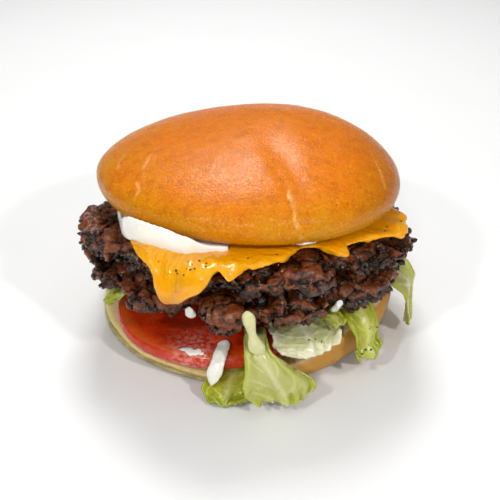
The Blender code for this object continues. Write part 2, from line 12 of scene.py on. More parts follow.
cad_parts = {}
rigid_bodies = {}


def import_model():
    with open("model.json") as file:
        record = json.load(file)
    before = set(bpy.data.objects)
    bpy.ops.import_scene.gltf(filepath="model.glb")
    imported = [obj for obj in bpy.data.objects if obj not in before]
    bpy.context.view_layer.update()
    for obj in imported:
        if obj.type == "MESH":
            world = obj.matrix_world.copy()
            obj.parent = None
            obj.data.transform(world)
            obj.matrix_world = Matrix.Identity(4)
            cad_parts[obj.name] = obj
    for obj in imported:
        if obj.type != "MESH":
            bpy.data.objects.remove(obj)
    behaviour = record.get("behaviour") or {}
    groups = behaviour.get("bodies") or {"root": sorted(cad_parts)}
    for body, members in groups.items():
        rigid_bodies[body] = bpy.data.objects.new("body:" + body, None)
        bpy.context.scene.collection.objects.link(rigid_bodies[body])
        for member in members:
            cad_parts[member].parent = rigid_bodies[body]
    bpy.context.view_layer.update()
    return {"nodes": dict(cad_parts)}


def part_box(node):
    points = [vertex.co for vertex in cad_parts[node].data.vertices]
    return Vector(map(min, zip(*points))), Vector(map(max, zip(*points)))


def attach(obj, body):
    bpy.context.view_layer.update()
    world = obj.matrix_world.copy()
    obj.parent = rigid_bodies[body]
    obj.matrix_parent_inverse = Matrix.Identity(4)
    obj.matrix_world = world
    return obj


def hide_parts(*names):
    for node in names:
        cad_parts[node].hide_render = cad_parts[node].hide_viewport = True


MM = 0.001
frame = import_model()

# Camera, from the fit of the bun's outlines: millimetres and degrees
CAMERA_TARGET = (0.1, 1.9, 21.7)
CAMERA_DISTANCE = 320.0
CAMERA_ELEVATION = 30.5
FOCAL_PIXELS = 882.0
PHOTO_PIXELS = 500.0
SENSOR_MM = 36.0


def make_camera():
    data = bpy.data.cameras.new("camera")
    data.sensor_width = SENSOR_MM
    data.lens = SENSOR_MM * FOCAL_PIXELS / PHOTO_PIXELS
    data.clip_start = 0.01
    camera = bpy.data.objects.new("camera", data)
    bpy.context.scene.collection.objects.link(camera)
    elevation = math.radians(CAMERA_ELEVATION)
    back = Vector((0.0, -math.cos(elevation), math.sin(elevation)))
    camera.location = MM * (Vector(CAMERA_TARGET) + CAMERA_DISTANCE * back)
    camera.rotation_euler = (math.pi / 2 - elevation, 0.0, 0.0)
    bpy.context.scene.camera = camera


# Noise on arrays of points, in millimetres

AXIS_PRIMES = (73856093, 19349663, 83492791)
SEED_PRIME = 39916801
MIXING_PRIMES = (668265263, 374761393)
LOW_32_BITS = 0xFFFFFFFF
HASH_TOP = 0xFFFF
SEED_SHIFT = 11.3


def lattice_hash(cell, seed):
    """A whole number from 0 to HASH_TOP for each cell of a lattice."""
    mixed = np.full(cell.shape[:-1], seed * SEED_PRIME, np.int64)
    for axis, prime in enumerate(AXIS_PRIMES):
        mixed = mixed ^ (cell[..., axis] * prime)
    mixed = (mixed & LOW_32_BITS) * MIXING_PRIMES[0] & LOW_32_BITS
    mixed = (mixed ^ (mixed >> 15)) * MIXING_PRIMES[1] & LOW_32_BITS
    return (mixed ^ (mixed >> 13)) & HASH_TOP


def value_noise(points, scale, seed=0):
    """Smooth noise from -1 to 1 with features of this size."""
    at = points / scale + SEED_SHIFT * seed
    cell = np.floor(at).astype(np.int64)
    part = at - cell
    part = part * part * (3.0 - 2.0 * part)
    total = np.zeros(len(points))
    for corner in np.ndindex(2, 2, 2):
        weight = np.ones(len(points))
        for axis in range(3):
            weight = weight * (part[:, axis] if corner[axis] else 1.0 - part[:, axis])
        total += weight * (2.0 * lattice_hash(cell + np.array(corner), seed) / HASH_TOP - 1.0)
    return total


def layered_noise(points, scale, octaves, seed=0):
    """Noise with finer and weaker layers added, from about -1 to 1."""
    total, strength, whole = np.zeros(len(points)), 1.0, 0.0
    for octave in range(octaves):
        total += strength * value_noise(points, scale / 2.03**octave, seed + octave)
        whole += strength
        strength *= 0.55
    return total / whole * 1.35


def cells(points, scale, seed=0):
    """Distances to the nearest and second nearest of scattered points, in shares of the cell size."""
    at = points / scale
    cell = np.floor(at).astype(np.int64)
    nearest = np.full(len(points), 9.0)
    second = np.full(len(points), 9.0)
    for step in np.ndindex(3, 3, 3):
        there = cell + np.array(step) - 1
        spot = np.stack([lattice_hash(there, seed + k) / HASH_TOP for k in range(3)], axis=1)
        away = np.linalg.norm(there + spot - at, axis=1)
        second = np.where(away < nearest, nearest, np.minimum(second, away))
        nearest = np.minimum(nearest, away)
    return nearest, second


def billow(points, scale, seed=0):
    """Rounded lumps of this size with sharp creases between them, from 0 in a crease to about 1."""
    return np.abs(value_noise(points, scale, seed) + 0.35 * value_noise(points, 0.47 * scale, seed + 50))


def ramp(value, low, high):
    """0 below low and 1 above high, smooth between."""
    t = np.clip((value - low) / (high - low), 0.0, 1.0)
    return t * t * (3.0 - 2.0 * t)


def gauss(value, width):
    return np.exp(-((value / width) ** 2))


# Meshes

def new_object(name, mesh):
    made = bpy.data.objects.new(name, mesh)
    bpy.context.scene.collection.objects.link(made)
    return made


def settle(piece):
    """Applies the piece's modifiers to its mesh."""
    graph = bpy.context.evaluated_depsgraph_get()
    mesh = bpy.data.meshes.new_from_object(piece.evaluated_get(graph))
    piece.modifiers.clear()
    piece.data = mesh
    mesh.name = piece.name


def fine_copy(name, node, levels=0, voxel=0.0, relax=0):
    """A finer copy of a node's solid: subdivision levels, voxel size in mm, and how often it is smoothed."""
    mesh = frame["nodes"][node].data.copy()
    work = bmesh.new()
    work.from_mesh(mesh)
    bmesh.ops.remove_doubles(work, verts=work.verts, dist=0.02 * MM)
    bmesh.ops.recalc_face_normals(work, faces=work.faces)
    work.to_mesh(mesh)
    work.free()
    mesh.materials.clear()
    piece = new_object(name, mesh)
    if levels:
        subdivision = piece.modifiers.new("subdivision", "SUBSURF")
        subdivision.levels = subdivision.render_levels = levels
    if voxel:
        remesh = piece.modifiers.new("remesh", "REMESH")
        remesh.mode = "VOXEL"
        remesh.voxel_size = voxel * MM
    if relax:
        smooth = piece.modifiers.new("relax", "SMOOTH")
        smooth.iterations = relax
        smooth.factor = 0.5
    settle(piece)
    return piece


def points_of(piece):
    """The mesh's points in millimetres."""
    found = np.empty(3 * len(piece.data.vertices), np.float32)
    piece.data.vertices.foreach_get("co", found)
    return found.reshape(-1, 3).astype(float) / MM


def normals_of(piece):
    found = np.empty(3 * len(piece.data.vertices), np.float32)
    piece.data.vertex_normals.foreach_get("vector", found)
    return found.reshape(-1, 3).astype(float)


def set_points(piece, points):
    piece.data.vertices.foreach_set("co", (points * MM).astype(np.float32).ravel())
    piece.data.update()


def set_value(piece, name, values):
    """Stores one number for each point, which materials read by this name."""
    attribute = piece.data.attributes.new(name, "FLOAT", "POINT")
    attribute.data.foreach_set("value", np.asarray(values, np.float32))


def refine_where(piece, chosen):
    """Splits the faces whose points are all chosen into four."""
    work = bmesh.new()
    work.from_mesh(piece.data)
    work.verts.ensure_lookup_table()
    edges = [edge for edge in work.edges if chosen[edge.verts[0].index] and chosen[edge.verts[1].index]]
    bmesh.ops.subdivide_edges(work, edges=edges, cuts=1, use_grid_fill=True)
    bmesh.ops.triangulate(work, faces=[face for face in work.faces if len(face.verts) > 4])
    work.to_mesh(piece.data)
    work.free()


def finish_piece(piece, material, slot, *nodes):
    """Smooth shading, the material, the body it rides on and the nodes that it stands for."""
    piece.data.materials.clear()
    piece.data.materials.append(material)
    piece.data.shade_smooth()
    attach(piece, "root")
    if nodes:
        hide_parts(*nodes)
    return piece


def path_distance(points, path):
    """Distance from each point to a line through the path's points, the share along it, and the side."""
    path = np.array(path, float)
    best = np.full(len(points), 1e9)
    along = np.zeros(len(points))
    for k in range(len(path) - 1):
        start, run = path[k], path[k + 1] - path[k]
        t = np.clip((points - start) @ run / (run @ run), 0.0, 1.0)
        away = np.linalg.norm(points - start - t[:, None] * run, axis=1)
        closer = away < best
        best = np.where(closer, away, best)
        along = np.where(closer, (k + t) / (len(path) - 1), along)
    return best, along


# Materials

class Nodes:
    """Builds one material's node graph. Every method returns the output socket of the node that it adds."""

    def __init__(self, name):
        self.material = bpy.data.materials.new(name)
        self.material.use_nodes = True
        self.tree = self.material.node_tree
        self.shader = self.tree.nodes["Principled BSDF"]

    def add(self, kind, **settings):
        node = self.tree.nodes.new(kind)
        for key, value in settings.items():
            setattr(node, key, value)
        return node

    def link(self, value, socket):
        if isinstance(value, bpy.types.NodeSocket):
            self.tree.links.new(value, socket)
        else:
            socket.default_value = value

    def place(self):
        return self.add("ShaderNodeTexCoord").outputs["Object"]

    def position(self, axis):
        """One coordinate of the object's own space, in metres."""
        split = self.add("ShaderNodeSeparateXYZ")
        self.link(self.place(), split.inputs[0])
        return split.outputs[axis]

    def value(self, name):
        return self.add("ShaderNodeAttribute", attribute_name=name).outputs["Fac"]

    def noise(self, size, detail=3.0, roughness=0.55, distortion=0.0):
        """Noise from 0 to 1 with features of this size in millimetres."""
        node = self.add("ShaderNodeTexNoise")
        self.link(self.place(), node.inputs["Vector"])
        node.inputs["Scale"].default_value = 1.0 / (size * MM)
        node.inputs["Detail"].default_value = detail
        node.inputs["Roughness"].default_value = roughness
        node.inputs["Distortion"].default_value = distortion
        return node.outputs["Fac"]

    def cells(self, size, feature="F1"):
        node = self.add("ShaderNodeTexVoronoi", feature=feature)
        self.link(self.place(), node.inputs["Vector"])
        node.inputs["Scale"].default_value = 1.0 / (size * MM)
        return node.outputs["Distance"]

    def span(self, value, low, high, start=0.0, end=1.0):
        node = self.add("ShaderNodeMapRange", interpolation_type="SMOOTHSTEP")
        self.link(value, node.inputs["Value"])
        for key, number in (("From Min", low), ("From Max", high), ("To Min", start), ("To Max", end)):
            node.inputs[key].default_value = number
        return node.outputs["Result"]

    def sum(self, kind, a, b):
        node = self.add("ShaderNodeMath", operation=kind)
        self.link(a, node.inputs[0])
        self.link(b, node.inputs[1])
        return node.outputs[0]

    def mix(self, share, a, b):
        node = self.add("ShaderNodeMix", data_type="RGBA")
        for value, socket in ((share, node.inputs["Factor"]), (a, node.inputs[6]), (b, node.inputs[7])):
            if isinstance(value, tuple):
                value = (*value, 1.0)
            self.link(value, socket)
        return node.outputs[2]

    def bump(self, height, depth, before=None):
        """A bump whose height socket spans this depth in millimetres."""
        node = self.add("ShaderNodeBump")
        node.inputs["Strength"].default_value = 1.0
        node.inputs["Distance"].default_value = depth * MM
        self.link(height, node.inputs["Height"])
        if before is not None:
            self.link(before, node.inputs["Normal"])
        return node.outputs["Normal"]

    def finish(self, colour, roughness, normal=None, **settings):
        if isinstance(colour, tuple):
            colour = (*colour, 1.0)
        self.link(colour, self.shader.inputs["Base Color"])
        self.link(roughness, self.shader.inputs["Roughness"])
        if normal is not None:
            self.link(normal, self.shader.inputs["Normal"])
        for key, value in settings.items():
            self.shader.inputs[key.replace("_", " ")].default_value = value
        return self.material


def soft_under(scale, colour):
    """Settings for light that scatters under the surface, as far as scale in millimetres."""
    return {"Subsurface_Weight": 0.35, "Subsurface_Radius": colour, "Subsurface_Scale": scale * MM}


def crown_material():
    m = Nodes("crust")
    blotch = m.sum("MULTIPLY", m.sum("SUBTRACT", m.noise(15.0, 4.0), 0.5), 0.016)
    level = m.sum("ADD", m.position("Z"), blotch)
    golden = m.mix(m.noise(5.0, 4.0), (0.54, 0.205, 0.001), (0.68, 0.275, 0.002))
    brown = m.mix(m.noise(3.0, 5.0), (0.62, 0.130, 0.001), (0.82, 0.220, 0.002))
    colour = m.mix(m.span(level, 0.054, 0.068), golden, brown)
    # Painted shade: the crown darker towards its right side.
    painted_shade_side = m.span(m.sum("ADD", m.position("X"), blotch), 0.026, 0.050)
    colour = m.mix(m.sum("MULTIPLY", painted_shade_side, 0.70), colour, (0.36, 0.090, 0.002))
    # Painted shade: the lower rim darker and browner, in patches.
    rim = m.sum("MULTIPLY", m.span(level, 0.0560, 0.0490), m.span(m.noise(9.0, 3.0), 0.35, 0.75))
    colour = m.mix(m.sum("MULTIPLY", rim, 0.60), colour, (0.48, 0.22, 0.012))
    mottle = m.sum("MULTIPLY", m.span(m.noise(4.0, 5.0, 0.65), 0.48, 0.64), m.span(level, 0.052, 0.060))
    colour = m.mix(m.sum("MULTIPLY", mottle, 0.60), colour, (0.50, 0.110, 0.001))
    specks = m.span(m.noise(0.8, 3.0, 0.65), 0.52, 0.62)
    colour = m.mix(m.sum("MULTIPLY", specks, 0.50), colour, (0.40, 0.090, 0.002))
    pores = m.span(m.noise(0.7, 3.0, 0.65), 0.45, 0.36)
    colour = m.mix(m.sum("MULTIPLY", pores, 0.35), colour, (0.96, 0.48, 0.030))
    dots = m.span(m.cells(3.4), 0.13, 0.07)
    colour = m.mix(m.sum("MULTIPLY", dots, 0.35), colour, (0.22, 0.05, 0.004))
    colour = m.mix(m.sum("MULTIPLY", m.value("crack"), 0.85), colour, (0.92, 0.62, 0.24))
    normal = m.bump(m.noise(0.75, 3.0, 0.6), 0.15)
    normal = m.bump(m.noise(3.0, 2.0), 0.16, normal)
    rough = m.span(m.noise(0.8, 3.0), 0.42, 0.58, 0.13, 0.46)
    return m.finish(colour, rough, normal, IOR=1.26, Specular_IOR_Level=0.62,
                    Specular_Tint=(1.0, 0.97, 0.84, 1.0))


def heel_material():
    m = Nodes("pale_crust")
    height, across = m.position("Z"), m.position("X")
    blotch = m.sum("MULTIPLY", m.sum("SUBTRACT", m.noise(16.0), 0.5), 0.03)
    side = m.span(m.sum("ADD", across, blotch), -0.012, 0.026)
    pale = m.mix(m.noise(4.0, 5.0), (0.76, 0.61, 0.22), (0.90, 0.74, 0.32))
    golden = m.mix(m.noise(4.0, 5.0), (0.46, 0.20, 0.015), (0.58, 0.28, 0.035))
    colour = m.mix(side, pale, golden)
    green = m.sum("MULTIPLY", m.span(across, -0.030, -0.046), m.span(m.noise(8.0), 0.35, 0.65))
    colour = m.mix(m.sum("MULTIPLY", green, 0.7), colour, (0.76, 0.69, 0.26))
    # Darker towards the bottom: partly the browner crust of the base, partly painted shade where the heel
    # meets the floor.
    wavy = m.sum("ADD", height, m.sum("MULTIPLY", m.sum("SUBTRACT", m.noise(7.0), 0.5), 0.006))
    rim = m.mix(side, (0.27, 0.20, 0.07), (0.30, 0.145, 0.025))
    colour = m.mix(m.span(wavy, 0.0052, 0.0012), colour, rim)
    crumb = m.mix(m.noise(1.2, 4.0), (0.60, 0.43, 0.19), (0.78, 0.62, 0.36))
    colour = m.mix(m.value("cut"), colour, crumb)
    # Painted shade: a dark line in the groove of the pressed left front.
    colour = m.mix(m.sum("MULTIPLY", m.value("seam"), 0.75), colour, (0.16, 0.11, 0.035))
    specks = m.span(m.noise(1.0, 3.0), 0.58, 0.72)
    colour = m.mix(m.sum("MULTIPLY", specks, 0.35), colour, (0.26, 0.14, 0.03))
    normal = m.bump(m.noise(1.1, 4.0, 0.6), 0.16)
    return m.finish(colour, m.span(m.noise(2.0), 0.3, 0.7, 0.42, 0.6), normal)


def beef_material():
    m = Nodes("seared_beef")
    rise = m.value("rise")
    # Painted shade: black low in the relief's crevices, brown on its tops.
    level = m.sum("ADD", rise, m.sum("MULTIPLY", m.sum("SUBTRACT", m.noise(2.4, 5.0), 0.5), 0.8))
    colour = m.mix(m.span(level, 0.24, 0.66), (0.002, 0.0005, 0.0002), (0.170, 0.040, 0.008))
    red = m.sum("MULTIPLY", m.span(m.noise(4.0, 4.0, 0.65), 0.48, 0.60), m.span(rise, 0.20, 0.55))
    colour = m.mix(m.sum("MULTIPLY", red, 0.45), colour, (0.23, 0.036, 0.010))
    tan = m.sum("MULTIPLY", m.span(m.noise(2.6, 4.0, 0.65), 0.54, 0.64), m.span(rise, 0.25, 0.60))
    colour = m.mix(m.sum("MULTIPLY", tan, 0.50), colour, (0.34, 0.16, 0.060))
    black = m.span(m.noise(4.5, 5.0, 0.65), 0.54, 0.64)
    colour = m.mix(m.sum("MULTIPLY", black, 0.80), colour, (0.014, 0.004, 0.002))
    # Charred crust and painted shade: the downward faces go black.
    colour = m.mix(m.value("char"), colour, (0.007, 0.0025, 0.0015))
    normal = m.bump(m.noise(1.0, 4.0, 0.6), 0.42)
    rough = m.span(m.noise(1.6, 3.0), 0.42, 0.60, 0.04, 0.30)
    return m.finish(colour, rough, normal, Specular_IOR_Level=0.60, Specular_Tint=(1.0, 0.90, 0.80, 1.0))


def cheese_material():
    m = Nodes("melted_cheese")
    colour = m.mix(m.noise(9.0, 3.0), (0.82, 0.33, 0.001), (0.92, 0.43, 0.002))
    oily = m.span(m.noise(3.2, 3.0), 0.56, 0.72)
    colour = m.mix(m.sum("MULTIPLY", oily, 0.35), colour, (0.60, 0.235, 0.003))
    low = m.span(m.position("Z"), 0.043, 0.036)
    colour = m.mix(m.sum("MULTIPLY", low, 0.80), colour, (0.42, 0.15, 0.002))
    browned = m.span(m.noise(1.1, 4.0, 0.6), 0.66, 0.74)
    colour = m.mix(m.sum("MULTIPLY", browned, 0.5), colour, (0.22, 0.075, 0.004))
    normal = m.bump(m.noise(3.4, 2.0), 0.40)
    normal = m.bump(m.noise(1.3, 2.0), 0.07, normal)
    return m.finish(colour, m.span(m.noise(2.4), 0.35, 0.65, 0.05, 0.15), normal, Specular_IOR_Level=0.50,
                    **soft_under(1.0, (1.0, 0.45, 0.01)))


def mayonnaise_material():
    m = Nodes("mayonnaise")
    colour = m.mix(m.noise(5.0), (0.90, 0.87, 0.76), (0.95, 0.94, 0.89))
    normal = m.bump(m.noise(2.6, 2.0), 0.16)
    return m.finish(colour, 0.24, normal, **soft_under(2.0, (1.0, 0.9, 0.7)))


def tomato_material():
    m = Nodes("tomato")
    fibre = m.noise(2.2, 4.0)
    colour = m.mix(fibre, (0.44, 0.014, 0.001), (0.66, 0.045, 0.003))
    colour = m.mix(m.sum("MULTIPLY", m.value("rim"), 0.6), colour, (0.62, 0.12, 0.015))
    pale = m.span(m.noise(7.0, 3.0), 0.58, 0.75)
    colour = m.mix(m.sum("MULTIPLY", pale, 0.4), colour, (0.60, 0.10, 0.02))
    # Painted highlight: a pale pink patch on the top near the front.
    wet = m.sum("MULTIPLY", m.value("wet"), m.span(m.noise(1.5, 4.0, 0.7), 0.40, 0.62))
    colour = m.mix(m.sum("MULTIPLY", wet, 0.85), colour, (0.86, 0.42, 0.34))
    normal = m.bump(m.noise(1.6, 3.0), 0.30)
    return m.finish(colour, m.span(m.noise(1.8), 0.35, 0.7, 0.10, 0.30), normal, Specular_IOR_Level=0.45,
                    **soft_under(0.7, (1.0, 0.10, 0.02)))


def onion_material():
    m = Nodes("onion")
    colour = m.mix(m.noise(3.0), (0.86, 0.84, 0.70), (0.95, 0.94, 0.86))
    return m.finish(colour, 0.22, m.bump(m.noise(1.8), 0.12), **soft_under(3.0, (1.0, 0.95, 0.75)))


def lettuce_material(name, rib, leaf, edge):
    """Rib colour along the veins and at the base, leaf colour between, and edge colour on the frills."""
    m = Nodes(name)
    colour = m.mix(m.noise(5.0, 4.0), leaf, tuple(0.80 * c for c in leaf))
    colour = m.mix(m.sum("MULTIPLY", m.value("edge"), m.span(m.noise(4.0), 0.25, 0.65)), colour, edge)
    colour = m.mix(m.value("vein"), colour, rib)
    specks = m.span(m.noise(1.3, 3.0), 0.55, 0.75)
    colour = m.mix(m.sum("MULTIPLY", specks, 0.25), colour, tuple(0.6 * c for c in leaf))
    normal = m.bump(m.noise(1.4, 4.0, 0.6), 0.22)
    return m.finish(colour, m.span(m.noise(2.5), 0.35, 0.7, 0.24, 0.42), normal,
                    Coat_Weight=0.25, Coat_Roughness=0.12, **soft_under(1.6, (0.75, 1.0, 0.30)))


def crumb_material():
    m = Nodes("crumbs")
    colour = m.mix(m.noise(1.0, 3.0), (0.008, 0.004, 0.003), (0.09, 0.03, 0.012))
    return m.finish(colour, 0.4, m.bump(m.noise(0.5, 3.0), 0.15))


def floor_material():
    m = Nodes("floor")
    colour = m.mix(m.noise(40.0, 2.0), (0.86, 0.86, 0.855), (0.88, 0.88, 0.875))
    return m.finish(colour, 0.6)


# Bun

# The crown's long crease, and fine wrinkles with their depth and half width, in millimetres
CREASE_DEPTH, CREASE_HALF_WIDTH, CRACK_HALF_WIDTH = 0.70, 0.55, 0.50
CREASE = ((1.7, -13.9, 71.7), (4.2, -20.1, 71.0), (6.9, -26.3, 69.7), (9.5, -32.6, 68.0), (11.1, -38.1, 66.1),
          (12.8, -43.3, 63.7), (13.8, -47.5, 60.3), (15.3, -46.7, 52.7))
CREASE_TOP_POINTS = 7
WRINKLES = (
    (((-28.0, -6.0, 67.0), (-32.0, -14.0, 65.8), (-34.0, -24.3, 64.3), (-34.3, -31.4, 62.7),
      (-35.2, -35.5, 59.6)), 0.35, 0.45),
    (((-24.7, 18.8, 65.9), (-29.7, 14.9, 65.3), (-34.0, 5.4, 65.2)), 0.25, 0.45),
    (((39.6, -6.6, 65.0), (41.1, -14.8, 63.4), (42.6, -22.5, 60.0), (43.7, -26.7, 55.0)), 0.35, 0.60),
    (((-40.6, -3.5, 63.6), (-41.8, -10.4, 63.1), (-42.2, -17.7, 62.2)), 0.22, 0.50),
    (((12.0, 38.0, 64.0), (16.0, 45.0, 59.0), (18.0, 49.0, 52.0)), 0.50, 0.80),
    (((-20.0, 34.0, 62.5), (-26.0, 39.0, 58.0), (-29.0, 42.0, 52.0)), 0.35, 0.70),
)


def make_crown():
    piece = fine_copy("crown", "bun_crown", levels=1, voxel=0.8, relax=14)
    points, normals = points_of(piece), normals_of(piece)
    wavering = points + 0.9 * np.stack([value_noise(points, 5.0, k) for k in (1, 2, 3)], axis=1)
    away, along = path_distance(wavering, CREASE)
    line = np.array(CREASE[:CREASE_TOP_POINTS])
    side = wavering[:, 0] - np.interp(-wavering[:, 1], -line[:, 1], line[:, 0])
    strength = ramp(along, 0.05, 0.45)
    lift = -CREASE_DEPTH * strength * gauss(away, CREASE_HALF_WIDTH)
    near = ramp(away, 12.0, 5.0) * strength
    lift += near * np.where(side < 0, 0.10 * gauss(away - 3.2, 2.6), 0.22 * gauss(away - 2.4, 2.4))
    broken = ramp(value_noise(points, 1.6, 8), -0.45, 0.25)
    crack = gauss(away, CRACK_HALF_WIDTH) * ramp(along, 0.15, 0.62) * broken
    for path, depth, width in WRINKLES:
        away, along = path_distance(wavering, path)
        ends = ramp(along, 0.0, 0.25) * ramp(along, 1.0, 0.75)
        lift -= depth * ends * (gauss(away, width) - 0.4 * gauss(away - 2.2 * width, 1.5 * width))
        crack = np.maximum(crack, 0.45 * ends * gauss(away, 0.40))
    lift += 0.16 * layered_noise(points, 13.0, 2, 4) + 0.06 * value_noise(points, 3.2, 5)
    under = ramp(normals[:, 2], -0.55, -0.15)
    set_points(piece, points + normals * (lift * under)[:, None])
    set_value(piece, "crack", crack * under)
    return finish_piece(piece, crown_material(), "crust", "bun_crown")


# How far the cut face rises beside the tomato, and the middle of the pressed left front in degrees
HEEL_SWELL = 1.9
PRESSED_AZIMUTH = -140.0


def make_heel():
    piece = fine_copy("heel", "bun_heel", levels=1, voxel=0.8, relax=8)
    points, normals = points_of(piece), normals_of(piece)
    azimuth = np.degrees(np.arctan2(points[:, 1], points[:, 0]))
    sides = ramp(np.abs(normals[:, 2]), 0.9, 0.5)
    waver = 0.7 * value_noise(points, 9.0, 3)
    left_front = ramp(np.abs((azimuth - PRESSED_AZIMUTH + 180.0) % 360.0 - 180.0), 75.0, 40.0)
    front = 3.4 + 1.6 * ramp(points[:, 1], -45.0, -10.0) + waver
    groove = -0.8 * gauss(points[:, 2] - front, 0.50) + 0.35 * gauss(points[:, 2] - front - 1.5, 0.9)
    lift = sides * (left_front * groove + 0.22 * layered_noise(points, 6.0, 3, 2))
    lift -= 0.25 * sides * gauss(value_noise(points * np.array([1.0, 1.0, 0.5]), 7.0, 6), 0.10)
    swell = off_tomato(points) * ramp(normals[:, 2], 0.5, 0.9)
    swell *= ramp(np.hypot(points[:, 0], points[:, 1]), 50.0, 44.0) * ramp(points[:, 2], 10.0, 15.0)
    moved = points + normals * lift[:, None]
    moved[:, 2] += HEEL_SWELL * swell
    set_points(piece, moved)
    set_value(piece, "cut", ramp(normals[:, 2], 0.75, 0.92) * ramp(points[:, 2], 4.0, 6.0))
    # Painted shade along the groove, which the material draws as a dark line.
    set_value(piece, "seam", sides * left_front * gauss(points[:, 2] - front, 0.40))
    return finish_piece(piece, heel_material(), "pale_crust", "bun_heel")


# Beef

# Sizes in millimetres. Relief starts at BEEF_EDGE from the middle and is full at RIM_RUN further out
BEEF_EDGE = 44.0
RIM_RUN = 7.0
LUMP_HEIGHT, LUMP_SIZE = 2.5, 10.0
CRACK_DEPTH, CHUNK_SIZE = 1.4, 9.0
FOLD_HEIGHT, FOLD_SIZE = 2.0, 7.5
NODULE_HEIGHT, NODULE_SIZE = 0.65, 2.8
BEAD_HEIGHT, BEAD_SIZE = 0.45, 1.5
GRAIN_HEIGHT, GRAIN_SIZE = 0.12, 1.0
FRINGE_HEIGHT, FRINGE_SIZE = 1.5, 2.7
BEEF_SINK, SIDE_SINK = 1.35, 0.55
DEEPEST, HIGHEST = -3.2, 1.5
# How far the patties press into each other inside, and how far the lower one sags beside the tomato
PATTIES_PRESS = 0.55
PATTY_SAG = 1.9


def off_tomato(points):
    """1 beside the tomato slice, where the lower patty and the heel close on the leaves, and 0 on it."""
    low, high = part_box("tomato_slice")
    centre = 0.5 * (np.array(low) + np.array(high)) / MM
    radius = 0.5 * (high[0] - low[0]) / MM
    return ramp(np.hypot(points[:, 0] - centre[0], points[:, 1] - centre[1]), radius + 1.0, radius + 6.0)


def make_patty(name, node, material, seed):
    """The patty with lumps, cracks, folds, nodules and beads of crust on its open rim."""
    piece = fine_copy(name, node, levels=1, voxel=0.85, relax=2)
    points = points_of(piece)
    refine_where(piece, np.hypot(points[:, 0], points[:, 1]) > BEEF_EDGE)
    points, normals = points_of(piece), normals_of(piece)
    radius = np.hypot(points[:, 0], points[:, 1])
    open_edge = ramp(radius, BEEF_EDGE, BEEF_EDGE + RIM_RUN)
    side = ramp(np.abs(normals[:, 2]), 0.90, 0.40)
    warp = 1.7 * np.stack([value_noise(points, 4.6, seed + k) for k in (1, 2, 3)], axis=1)
    warp += 0.5 * np.stack([value_noise(points, 1.9, seed + k) for k in (4, 5, 6)], axis=1)
    near, second = cells(points + warp, CHUNK_SIZE, seed)
    crack = gauss(second - near, 0.07)
    lumps = layered_noise(points, LUMP_SIZE, 2, seed + 9)
    folds = billow(points + warp, FOLD_SIZE, seed + 5)
    nodules = billow(points + 0.6 * warp, NODULE_SIZE, seed + 11)
    beads = billow(points, BEAD_SIZE, seed + 13)
    grain = layered_noise(points, GRAIN_SIZE, 2, seed + 17)
    fringe = ramp(value_noise(points, FRINGE_SIZE, seed + 21), 0.15, 0.75)
    lift = LUMP_HEIGHT * lumps - CRACK_DEPTH * crack + FOLD_HEIGHT * folds
    lift += NODULE_HEIGHT * nodules + BEAD_HEIGHT * beads + GRAIN_HEIGHT * grain - BEEF_SINK
    lift += side * (FRINGE_HEIGHT * fringe - SIDE_SINK)
    lift = np.clip(lift, DEEPEST, HIGHEST)
    facing = normals[:, 2] if node == "patty_lower" else -normals[:, 2]
    meeting = ramp(facing, 0.3, 0.8) * ramp(radius, BEEF_EDGE + RIM_RUN, BEEF_EDGE)
    moved = points + normals * (lift * open_edge + PATTIES_PRESS * meeting)[:, None]
    if node == "patty_lower":
        underside = ramp(normals[:, 2], -0.2, -0.7) * ramp(radius, BEEF_EDGE + 10.0, BEEF_EDGE + 2.0)
        moved[:, 2] -= PATTY_SAG * off_tomato(points) * underside
    set_points(piece, moved)
    # The rise paints shade: low in the crevices, where the beef goes black.
    relief = 1.7 * folds + 0.7 * nodules + 0.8 * beads - 1.4 * crack + 0.5 * lumps
    set_value(piece, "rise", np.clip(0.17 + 0.28 * relief, 0.0, 1.0))
    # Downward faces black: charred crust, with painted shade under the patties.
    charred_and_shaded = ramp(normals[:, 2] + 0.5 * layered_noise(points, 4.0, 3, seed + 23), -0.10, -0.75)
    set_value(piece, "char", 0.92 * charred_and_shaded)
    return finish_piece(piece, material, "seared_beef", node)


# Loose crust at the patties' rims: the patty, how high up its side as a share, and how many crags
LACE_ROWS = (
    ("upper_patty", 0.20, 260),
    ("upper_patty", 0.70, 60),
    ("lower_patty", 0.15, 320),
    ("lower_patty", 0.70, 60),
)
CRAG_SIZES = (0.35, 1.05)
CRAG_LENGTHS = (1.0, 1.9)


def make_lace(material):
    """Small dark crags of crust that stick out of the patties' rims."""
    rng = np.random.default_rng(11)
    work = bmesh.new()
    for name, share, count in LACE_ROWS:
        piece = bpy.data.objects[name]
        tree = tree_of([piece])
        points = points_of(piece)
        turns = np.degrees(np.arctan2(points[:, 1], points[:, 0]))
        radii = np.hypot(points[:, 0], points[:, 1])
        for azimuth in rng.uniform(-180.0, 180.0, count):
            near = (np.abs(turns - azimuth) < 2.0) & (radii > 50.0)
            if not near.any():
                continue
            heights = points[near, 2]
            height = heights.min() + share * (heights.max() - heights.min()) + rng.uniform(-1.2, 1.2)
            a = math.radians(azimuth)
            outward = Vector((math.cos(a), math.sin(a), 0.0))
            start = 80.0 * MM * outward + Vector((0.0, 0.0, height * MM))
            spot, normal, _, _ = tree.ray_cast(start, -outward)
            if spot is None:
                continue
            size = MM * rng.uniform(*CRAG_SIZES)
            lean = (outward + normal + Vector(rng.uniform(-0.6, 0.6, 3))).normalized()
            blob(work, spot + 0.3 * size * lean, lean, size, rng.uniform(*CRAG_LENGTHS), rng)
    mesh = bpy.data.meshes.new("crust_lace")
    work.to_mesh(mesh)
    work.free()
    piece = new_object("crust_lace", mesh)
    set_value(piece, "rise", np.full(len(mesh.vertices), 0.34))
    set_value(piece, "char", np.full(len(mesh.vertices), 0.55))
    return finish_piece(piece, material, "seared_beef")


# Cheese, sauce, tomato and onion

